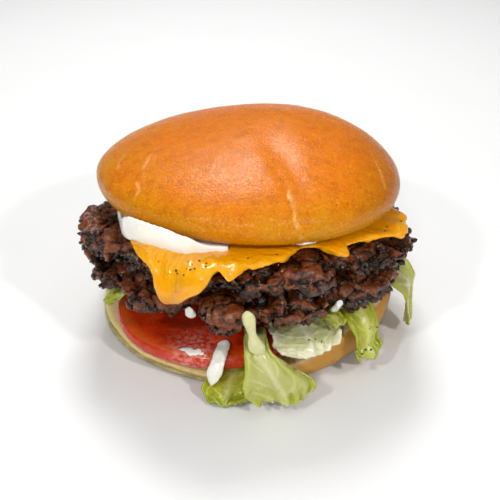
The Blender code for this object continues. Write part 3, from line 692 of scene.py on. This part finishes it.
def make_cheese():
    piece = fine_copy("cheese_slice", "cheese", levels=2)
    points, normals = points_of(piece), normals_of(piece)
    radius = np.hypot(points[:, 0], points[:, 1])
    lift = 0.62 * layered_noise(points, 5.0, 3, 2) * ramp(radius, 42.0, 48.0)
    wrinkled = ramp(radius, 44.0, 50.0) * ramp(radius, 62.0, 56.0)
    lift += 0.45 * gauss(value_noise(points, 9.0, 4), 0.16) * wrinkled
    outer = ramp(normals[:, 2], -0.3, 0.3)
    hang = ramp(radius, 52.0, 57.0) * ramp(points[:, 2], 46.0, 40.0)
    lift += outer * hang * 0.5 * ramp(value_noise(points, 5.0, 6), -0.3, 0.6)
    set_points(piece, points + normals * lift[:, None])
    return finish_piece(piece, cheese_material(), "melted_cheese", "cheese")


# The fold across the bead's left part, how far the bead swells outwards and how far its lower edge sags
MAYONNAISE_SWELL, MAYONNAISE_SAG = 1.3, 1.9
MAYONNAISE_FOLD = ((-35.0, -32.0, 50.5), (-35.8, -34.5, 47.5), (-35.2, -36.2, 44.5))


def make_mayonnaise(material):
    piece = fine_copy("mayo_bead", "mayonnaise", levels=3)
    points, normals = points_of(piece), normals_of(piece)
    lift = 0.40 * layered_noise(points, 6.0, 2, 3) * ramp(normals[:, 1], 0.3, -0.3)
    away, _ = path_distance(points, MAYONNAISE_FOLD)
    lift -= 0.75 * gauss(away, 0.7) - 0.5 * gauss(away - 2.0, 1.2)
    outward = (normals[:, :2] * points[:, :2]).sum(axis=1) / np.hypot(points[:, 0], points[:, 1])
    lift += MAYONNAISE_SWELL * ramp(outward, 0.1, 0.9)
    sag = MAYONNAISE_SAG * ramp(normals[:, 2], 0.5, -0.4) * ramp(outward, -0.2, 0.4)
    set_points(piece, points + normals * lift[:, None] - sag[:, None] * np.array([0.0, 0.0, 1.0]))
    return finish_piece(piece, material, "mayonnaise", "mayonnaise")


# The painted highlight, a pale pink patch on top, by x and y in millimetres, and its half width
TOMATO_HIGHLIGHT_SPOT = (-18.0, -46.0)
TOMATO_HIGHLIGHT_REACH = 6.5


def make_tomato():
    piece = fine_copy("tomato", "tomato_slice", levels=2)
    points, normals = points_of(piece), normals_of(piece)
    low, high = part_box("tomato_slice")
    centre = 0.5 * (np.array(low) + np.array(high)) / MM
    radius = np.hypot(points[:, 0] - centre[0], points[:, 1] - centre[1])
    highlight_away = np.linalg.norm(points[:, :2] - TOMATO_HIGHLIGHT_SPOT, axis=1)
    lift = 0.15 * value_noise(points, 6.0, 2)
    set_points(piece, points + normals * lift[:, None])
    set_value(piece, "rim", ramp(radius, 32.5, 35.5) * ramp(normals[:, 2], 0.55, 0.9))
    # Painted highlight, strongest at its spot.
    set_value(piece, "wet", gauss(highlight_away, TOMATO_HIGHLIGHT_REACH))
    return finish_piece(piece, tomato_material(), "tomato", "tomato_slice")


# Millimetres that small pieces move back along the camera's view, to lean on what is behind them
LEAN_BACK = {"onion_strip": 1.3, "onion_chip_left": 2.0, "onion_chip_right": 3.0, "lettuce_stalk": 4.5}


def lean_back(node):
    elevation = math.radians(CAMERA_ELEVATION)
    return LEAN_BACK[node] * np.array([0.0, math.cos(elevation), -math.sin(elevation)])


def make_onions():
    material = onion_material()
    for node in ("onion_strip", "onion_chip_left", "onion_chip_right"):
        piece = fine_copy(node.replace("onion", "white_onion"), node, levels=3)
        points, normals = points_of(piece), normals_of(piece)
        depth = 0.22 if node == "onion_strip" else 0.50
        uneven = depth * layered_noise(points * np.array([1.0, 1.0, 0.5]), 2.2, 2, 1)
        set_points(piece, points + normals * uneven[:, None] + lean_back(node))
        finish_piece(piece, material, "onion", node)


# Lettuce

# Each leaf by its knots (radius, height, azimuth, half width), as the solids have them, and its frills
LEAVES = {
    "leaf_front_fold": dict(
        knots=((46.0, 20.8, -88.0, 3.4), (53.0, 22.2, -88.0, 3.6), (58.6, 21.0, -87.5, 4.4),
               (61.4, 16.0, -84.5, 7.5), (62.0, 10.5, -82.0, 11.0), (62.3, 6.0, -80.5, 11.5),
               (62.8, 2.6, -80.0, 8.0)),
        frill=1.9, waves=1.5, phase=0.4, pale=True),
    "leaf_front_left": dict(
        knots=((43.0, 7.1, -96.0, 5.0), (49.5, 6.3, -96.0, 6.5), (55.0, 5.0, -96.5, 8.5),
               (58.0, 3.2, -97.0, 8.5), (61.5, 1.9, -98.0, 5.0)),
        frill=0.9, waves=2.0, phase=1.9, pale=False),
    "leaf_front_right": dict(
        knots=((38.0, 19.4, -69.5, 8.0), (48.0, 19.6, -69.5, 11.0), (54.6, 18.6, -69.5, 12.0),
               (57.2, 15.2, -69.5, 10.0)),
        frill=1.2, waves=1.5, phase=2.4, pale=True),
    "leaf_right": dict(
        knots=((38.0, 20.6, -43.0, 6.5), (49.5, 20.6, -44.0, 7.5), (54.6, 15.5, -45.0, 7.5),
               (55.4, 10.5, -46.0, 6.5), (57.6, 8.2, -46.5, 7.0), (56.6, 5.6, -47.0, 4.5)),
        frill=1.2, waves=1.5, phase=0.9, pale=False),
    "leaf_far_right": dict(
        knots=((40.0, 20.4, -11.0, 7.0), (50.5, 21.0, -12.5, 9.0), (57.0, 18.4, -14.5, 9.5),
               (57.8, 11.0, -17.0, 7.5), (58.2, 3.5, -18.5, 2.8)),
        frill=1.2, waves=1.0, phase=0.2, pale=True),
    "leaf_left": dict(
        knots=((41.0, 20.4, -160.0, 5.5), (47.0, 20.4, -158.5, 7.0), (51.6, 18.6, -157.5, 7.0),
               (53.8, 14.8, -157.0, 4.5)),
        frill=1.0, waves=1.0, phase=2.0, pale=False),
    "leaf_inner": dict(
        knots=((44.0, 22.0, -58.5, 2.6), (50.0, 23.4, -58.5, 3.6), (54.5, 22.4, -58.0, 2.6)),
        frill=0.5, waves=1.0, phase=1.1, pale=False),
    "leaf_back_left": dict(
        knots=((36.0, 19.4, 150.0, 12.0), (49.0, 19.4, 150.0, 16.0), (54.8, 15.8, 150.0, 15.0),
               (56.6, 8.0, 149.0, 9.0)),
        frill=1.3, waves=2.0, phase=0.3, pale=False),
    "leaf_back": dict(
        knots=((32.0, 19.0, 102.0, 11.0), (49.0, 18.8, 102.0, 17.0), (54.6, 16.2, 102.0, 17.0),
               (57.4, 12.0, 102.0, 12.0)),
        frill=1.2, waves=2.5, phase=1.2, pale=True),
    "leaf_back_right": dict(
        knots=((36.0, 19.8, 46.0, 14.0), (49.0, 19.6, 46.0, 20.0), (54.8, 16.0, 46.0, 19.0),
               (57.0, 6.5, 47.0, 11.0)),
        frill=1.3, waves=2.5, phase=2.2, pale=False),
}
LEAF_THICKNESS = 0.55
LEAF_ROWS = 64
LEAF_COLUMNS = 64


def curve_points(knots, shares):
    """Points at these shares of a smooth curve through the knots."""
    knots = np.array(knots, float)
    chords = np.linalg.norm(np.diff(knots[:, :2], axis=0), axis=1)
    lengths = np.concatenate([[0.0], np.cumsum(chords)])
    at = shares * lengths[-1]
    i = np.clip(np.searchsorted(lengths, at, side="right") - 1, 0, len(knots) - 2)
    s = ((at - lengths[i]) / (lengths[i + 1] - lengths[i]))[:, None]
    here, there = knots[i], knots[i + 1]
    lean_here = 0.5 * (there - knots[np.maximum(i - 1, 0)])
    lean_there = 0.5 * (knots[np.minimum(i + 2, len(knots) - 1)] - here)
    return (here * (2 * s**3 - 3 * s**2 + 1) + lean_here * (s**3 - 2 * s**2 + s)
            + there * (3 * s**2 - 2 * s**3) + lean_there * (s**3 - s**2))


def make_leaf(node, leaf, material, seed):
    """A thin crinkled sheet along the leaf's path, with ruffled edges and raised veins."""
    rows, columns = LEAF_ROWS, LEAF_COLUMNS
    u, v = np.meshgrid(np.linspace(0, 1, rows + 1), np.linspace(0, 1, columns + 1), indexing="ij")
    u, v = u.ravel(), v.ravel()
    side = 2.0 * v - 1.0
    sheet = np.stack([60.0 * u, 40.0 * v, np.full_like(u, 9.0 * seed)], axis=1)
    ragged = 0.5 + 0.5 * layered_noise(sheet * np.array([0.0, 1.0, 1.0]), 5.0, 3, seed)
    reach = u * (1.0 - 0.07 * ragged * ramp(u, 0.3, 1.0))
    path = curve_points(leaf["knots"], reach)
    ahead = curve_points(leaf["knots"], np.minimum(reach + 0.04, 1.0))
    ahead = ahead - curve_points(leaf["knots"], np.maximum(reach - 0.04, 0.0))
    radius, height, azimuth, half_width = path.T
    slope = np.arctan2(ahead[:, 1], ahead[:, 0])
    borders = sheet * np.array([1.0, 0.0, 1.0]) + 5.0 * np.sign(side)[:, None]
    width_noise = 1.0 - 0.10 * (0.5 + 0.5 * value_noise(borders, 6.0, seed))
    growth = (0.35 + 0.65 * u) * (0.45 + 0.55 * side**2)
    wave = leaf["frill"] * growth * np.sin(2 * np.pi * leaf["waves"] * v + leaf["phase"] + 1.5 * u)
    border = np.maximum(np.abs(side) ** 3, ramp(u, 0.72, 1.0))
    ruffle = 0.95 * border * np.sin(5.2 * np.pi * leaf["waves"] * v + 9.0 * u * np.abs(side) + leaf["phase"])
    crinkle = 0.42 * layered_noise(sheet, 4.6, 3, seed + 3) * (0.35 + 0.65 * border)
    rib_away = np.abs(side) * half_width
    branch = np.abs(((u * 5.0 + np.abs(side) * 1.6 + 0.15 * value_noise(sheet, 9.0, seed)) % 1.0) - 0.5)
    side_veins = 0.7 * gauss(branch, 0.07) * ramp(np.abs(side), 1.0, 0.6)
    veins = np.maximum(gauss(rib_away, 1.0 + 0.8 * (1.0 - u)), side_veins)
    lift = wave + (ruffle + crinkle) * ramp(u, 0.05, 0.35) + 0.28 * veins
    end = 0.85 * side**2 * half_width * 0.22 * ramp(u, 0.65, 1.0)
    r = radius - lift * np.sin(slope) - end * np.cos(slope)
    z = np.maximum(height + lift * np.cos(slope) - end * np.sin(slope), 0.75)
    turn = np.radians(azimuth) + side * half_width * width_noise / np.maximum(radius, 30.0)
    middle = np.stack([r * np.cos(turn), r * np.sin(turn), z], axis=1).reshape(rows + 1, columns + 1, 3)
    normal = np.cross(np.gradient(middle, axis=0), np.gradient(middle, axis=1))
    normal /= np.linalg.norm(normal, axis=2, keepdims=True)
    half = 0.5 * LEAF_THICKNESS
    points = np.concatenate([(middle + way * half * normal).reshape(-1, 3) for way in (1.0, -1.0)])
    size = (rows + 1) * (columns + 1)
    grid = np.arange(size).reshape(rows + 1, columns + 1)
    quads = np.stack([grid[:-1, :-1], grid[1:, :-1], grid[1:, 1:], grid[:-1, 1:]], axis=-1).reshape(-1, 4)
    rim = np.concatenate([grid[:-1, 0], grid[-1, :-1], grid[:0:-1, -1], grid[0, :0:-1]])
    nextdoor = np.roll(rim, -1)
    walls = np.stack([nextdoor, rim, rim + size, nextdoor + size], axis=1)
    faces = np.concatenate([quads, quads[:, ::-1] + size, walls])
    mesh = bpy.data.meshes.new(node)
    mesh.from_pydata((points * MM).tolist(), [], faces.tolist())
    mesh.update()
    piece = new_object(node.replace("leaf", "lettuce"), mesh)
    set_value(piece, "vein", np.tile(np.clip(veins * (1.05 - 0.5 * u), 0, 1), 2))
    set_value(piece, "edge", np.tile(border, 2))
    return finish_piece(piece, material, "pale_lettuce" if leaf["pale"] else "green_lettuce", node)


def make_lettuce():
    white = lettuce_material("white_lettuce", (0.86, 0.84, 0.60), (0.64, 0.63, 0.30), (0.86, 0.86, 0.66))
    pale = lettuce_material("pale_lettuce", (0.70, 0.68, 0.38), (0.52, 0.52, 0.150), (0.42, 0.46, 0.030))
    green = lettuce_material("green_lettuce", (0.66, 0.66, 0.22), (0.46, 0.47, 0.022), (0.34, 0.40, 0.006))
    for seed, (node, leaf) in enumerate(LEAVES.items()):
        material = white if node == "leaf_front_right" else pale if leaf["pale"] else green
        make_leaf(node, leaf, material, seed)
    stalk = fine_copy("lettuce_rib", "lettuce_stalk", levels=2)
    points, normals = points_of(stalk), normals_of(stalk)
    uneven = 0.18 * value_noise(points, 2.5, 4)
    set_points(stalk, points + normals * uneven[:, None] + lean_back("lettuce_stalk"))
    set_value(stalk, "vein", np.full(len(points), 0.75))
    set_value(stalk, "edge", 0.3 * ramp(points[:, 2], 30.0, 38.0))
    finish_piece(stalk, pale, "pale_lettuce", "lettuce_stalk")


# Crumbs and smears

def tree_of(pieces):
    """One search tree over these pieces' faces, in metres."""
    points, faces, first = [], [], 0
    for piece in pieces:
        points += [vertex.co.copy() for vertex in piece.data.vertices]
        faces += [[first + k for k in face.vertices] for face in piece.data.polygons]
        first = len(points)
    return BVHTree.FromPolygons(points, faces)


def blob(work, centre, normal, size, flatness, rng, level=1):
    """Adds one uneven lump that lies on a surface."""
    made = bmesh.ops.create_icosphere(work, subdivisions=level, radius=size)["verts"]
    turn = Vector(normal).to_track_quat("Z", "Y").to_matrix()
    stretch = Vector((rng.uniform(0.7, 1.4), rng.uniform(0.7, 1.2), flatness))
    for vertex in made:
        jitter = 1.0 + 0.22 * rng.uniform(-1.0, 1.0)
        vertex.co = centre + turn @ Vector(vertex.co[k] * stretch[k] * jitter for k in range(3))


# Where crumbs fall: azimuth range, radius range, height that they fall from and how many
CRUMB_FIELDS = (
    ((-118.0, -102.0), (56.5, 62.0), 60.0, 12),
    ((-98.0, -60.0), (49.5, 54.5), 60.0, 6),
    ((-40.0, -18.0), (50.0, 55.0), 56.0, 6),
    ((-50.0, -38.0), (54.5, 58.5), 24.0, 12),
    ((-125.0, -100.0), (47.0, 51.5), 24.0, 3),
    ((-82.0, -62.0), (52.0, 58.0), 26.0, 6),
    ((100.0, 170.0), (52.0, 58.0), 60.0, 14),
)


CRUMB_SIZES = (0.16, 0.48)
SMEAR_STEPS = 16
SMEAR_VOXEL = 0.25


def make_crumbs(pieces):
    tree = tree_of(pieces)
    rng = np.random.default_rng(7)
    work = bmesh.new()
    for azimuths, radii, top, count in CRUMB_FIELDS:
        for _ in range(count):
            azimuth = math.radians(rng.uniform(*azimuths))
            radius = rng.uniform(*radii)
            start = Vector((radius * math.cos(azimuth), radius * math.sin(azimuth), top)) * MM
            spot, normal, _, _ = tree.ray_cast(start, Vector((0.0, 0.0, -1.0)))
            if spot is None:
                continue
            size = MM * rng.uniform(*CRUMB_SIZES)
            blob(work, spot + normal * 0.2 * size, normal, size, 0.7, rng)
    mesh = bpy.data.meshes.new("crumbs")
    work.to_mesh(mesh)
    work.free()
    return finish_piece(new_object("crumbs", mesh), crumb_material(), "seared_beef")


# Smears of sauce: the line's start and end in millimetres, which way it is cast on the burger, and its width
DOWN, BACK = (0.0, 0.0, -1.0), (0.0, 1.0, 0.0)
SMEARS = {
    "mayo_tail": ((13.5, -90.0, 51.6), (20.5, -90.0, 51.2), BACK, 0.9),
    "mayo_on_tomato": ((-22.5, -45.5, 22.0), (-14.5, -49.2, 22.0), DOWN, 1.15),
    "mayo_by_leaf": ((7.0, -90.0, 3.6), (13.5, -90.0, 3.0), BACK, 1.0),
}


def make_smears(material, pieces):
    """Thin uneven streaks that lie on whatever the line meets."""
    rng = np.random.default_rng(3)
    tree = tree_of(pieces)
    for name, (start, end, way, width) in SMEARS.items():
        work = bmesh.new()
        for step in np.linspace(0.0, 1.0, SMEAR_STEPS):
            origin = Vector(start).lerp(Vector(end), step) + Vector(rng.uniform(-0.5, 0.5, 3))
            spot, normal, _, _ = tree.ray_cast(origin * MM, Vector(way).normalized())
            if spot is None:
                continue
            swell = width * MM * (0.45 + 0.75 * math.sin(math.pi * step)) * rng.uniform(0.75, 1.1)
            blob(work, spot + 0.15 * swell * normal, normal, swell, 0.42, rng, 2)
        mesh = bpy.data.meshes.new(name)
        work.to_mesh(mesh)
        work.free()
        piece = new_object(name, mesh)
        remesh = piece.modifiers.new("remesh", "REMESH")
        remesh.mode = "VOXEL"
        remesh.voxel_size = SMEAR_VOXEL * MM
        smooth = piece.modifiers.new("relax", "SMOOTH")
        smooth.iterations = 4
        settle(piece)
        finish_piece(piece, material, "mayonnaise")


# Floor, backdrop and light, in metres and watts

FLOOR_REACH = 1.0
BACKDROP_SIDES = 64
BACKDROP_RADIUS = 0.98
BACKDROP_LOW, BACKDROP_HIGH = -0.05, 1.5
BACKDROP_BRIGHTNESS = 0.80


def make_floor():
    mesh = bpy.data.meshes.new("floor")
    corners = [(x * FLOOR_REACH, y * FLOOR_REACH, 0.0) for x, y in ((-1, -1), (1, -1), (1, 1), (-1, 1))]
    mesh.from_pydata(corners, [], [(0, 1, 2, 3)])
    floor = new_object("floor", mesh)
    mesh.materials.append(floor_material())


def make_backdrop():
    """A pale wall round the set, which only the camera sees."""
    mesh = bpy.data.meshes.new("backdrop")
    sides, radius = BACKDROP_SIDES, BACKDROP_RADIUS
    turns = [2.0 * math.pi * k / sides for k in range(sides)]
    heights = (BACKDROP_LOW, BACKDROP_HIGH)
    points = [(radius * math.cos(a), radius * math.sin(a), z) for z in heights for a in turns]
    faces = [(k, (k + 1) % sides, (k + 1) % sides + sides, k + sides) for k in range(sides)]
    mesh.from_pydata(points, [], faces)
    backdrop = new_object("backdrop", mesh)
    material = bpy.data.materials.new("backdrop")
    material.use_nodes = True
    shader = material.node_tree.nodes["Principled BSDF"]
    shader.inputs["Base Color"].default_value = (0.0, 0.0, 0.0, 1.0)
    shader.inputs["Specular IOR Level"].default_value = 0.0
    shader.inputs["Emission Color"].default_value = (1.0, 1.0, 1.0, 1.0)
    shader.inputs["Emission Strength"].default_value = BACKDROP_BRIGHTNESS
    mesh.materials.append(material)
    backdrop.visible_diffuse = backdrop.visible_glossy = backdrop.visible_shadow = False


# Lamps: name, place, side and watts
LAMPS = (
    ("ceiling", (0.0, 0.0, 2.40), 3.00, 17.0),
    ("softbox", (-0.04, 0.40, 0.60), 0.24, 3.0),
    ("front", (-0.08, -0.62, 0.34), 0.05, 1.1),
    ("flash_left", (-0.32, -0.42, 0.48), 0.04, 1.1),
    ("flash_right", (0.34, -0.42, 0.44), 0.04, 1.5),
)
LAMP_AIM = (0.0, 0.0, 0.035)
WORLD_STRENGTH = 0.13


def make_light():
    for name, place, side, watts in LAMPS:
        data = bpy.data.lights.new(name, "AREA")
        data.size = side
        data.energy = watts
        lamp = bpy.data.objects.new(name, data)
        lamp.location = place
        lamp.rotation_euler = (Vector(LAMP_AIM) - lamp.location).to_track_quat("-Z", "Y").to_euler()
        bpy.context.scene.collection.objects.link(lamp)
    world = bpy.data.worlds.new("studio")
    world.use_nodes = True
    background = world.node_tree.nodes["Background"]
    background.inputs["Color"].default_value = (1.0, 1.0, 1.0, 1.0)
    background.inputs["Strength"].default_value = WORLD_STRENGTH
    bpy.context.scene.world = world
    bpy.context.scene.view_settings.view_transform = "Standard"


def main():
    make_camera()
    crown = make_crown()
    heel = make_heel()
    beef = beef_material()
    upper = make_patty("upper_patty", "patty_upper", beef, seed=21)
    lower = make_patty("lower_patty", "patty_lower", beef, seed=47)
    make_lace(beef)
    cheese = make_cheese()
    mayonnaise = mayonnaise_material()
    make_mayonnaise(mayonnaise)
    tomato = make_tomato()
    make_onions()
    make_lettuce()
    leaves = [bpy.data.objects[node.replace("leaf", "lettuce")] for node in LEAVES]
    make_crumbs([heel, upper, lower, cheese, tomato, *leaves])
    make_smears(mayonnaise, [crown, cheese, tomato, *leaves])
    make_floor()
    make_backdrop()
    make_light()


main()
